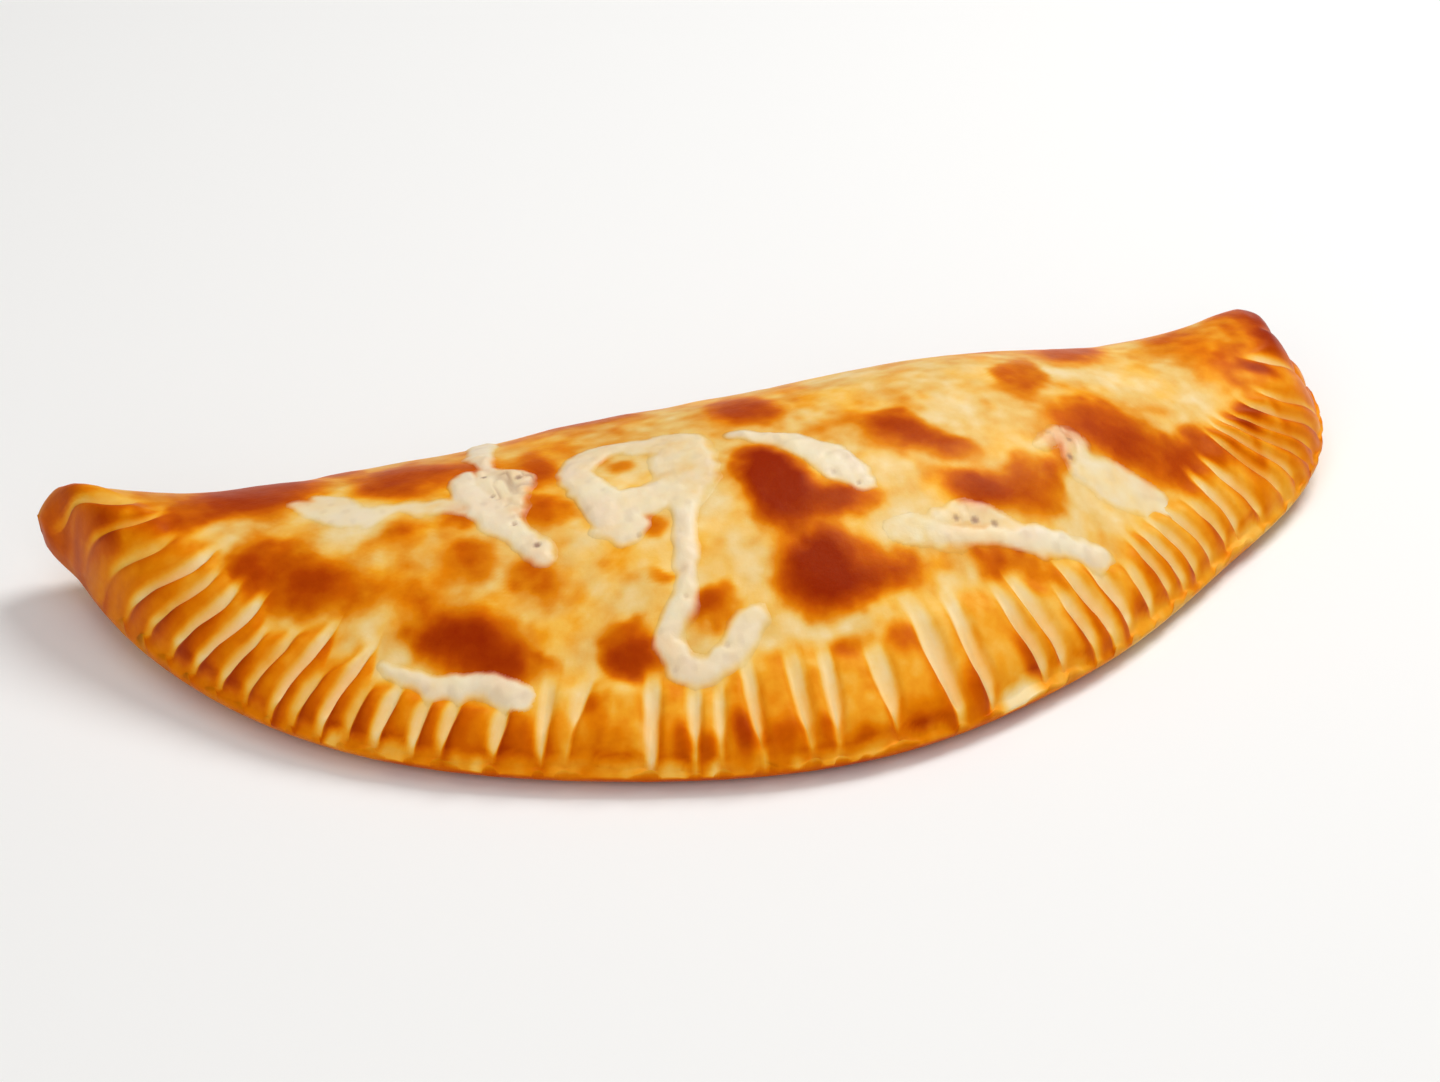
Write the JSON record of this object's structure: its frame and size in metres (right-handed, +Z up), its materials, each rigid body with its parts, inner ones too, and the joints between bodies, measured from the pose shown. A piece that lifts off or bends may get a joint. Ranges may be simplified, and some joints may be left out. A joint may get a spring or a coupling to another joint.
{
  "type": "cheese pie",
  "caption": "Half-moon folded cheese pie with a fork-crimped arc, rounded horns, a plump browned crown and melted cheese run over the top.",
  "frame": {"origin": "middle of the pie's extent in plan, on the surface that it rests on", "axes": "+X along the folded edge from the left horn to the right horn, -Y towards the crimped arc, +Z up"},
  "size_m": [0.2898, 0.1306, 0.0413],
  "materials": {
    "baked_crust": "satin, baked golden dough, stands in for food"
  },
  "bodies": {
    "root": {"cheese_pie": "baked_crust"}
  },
  "joints": []
}
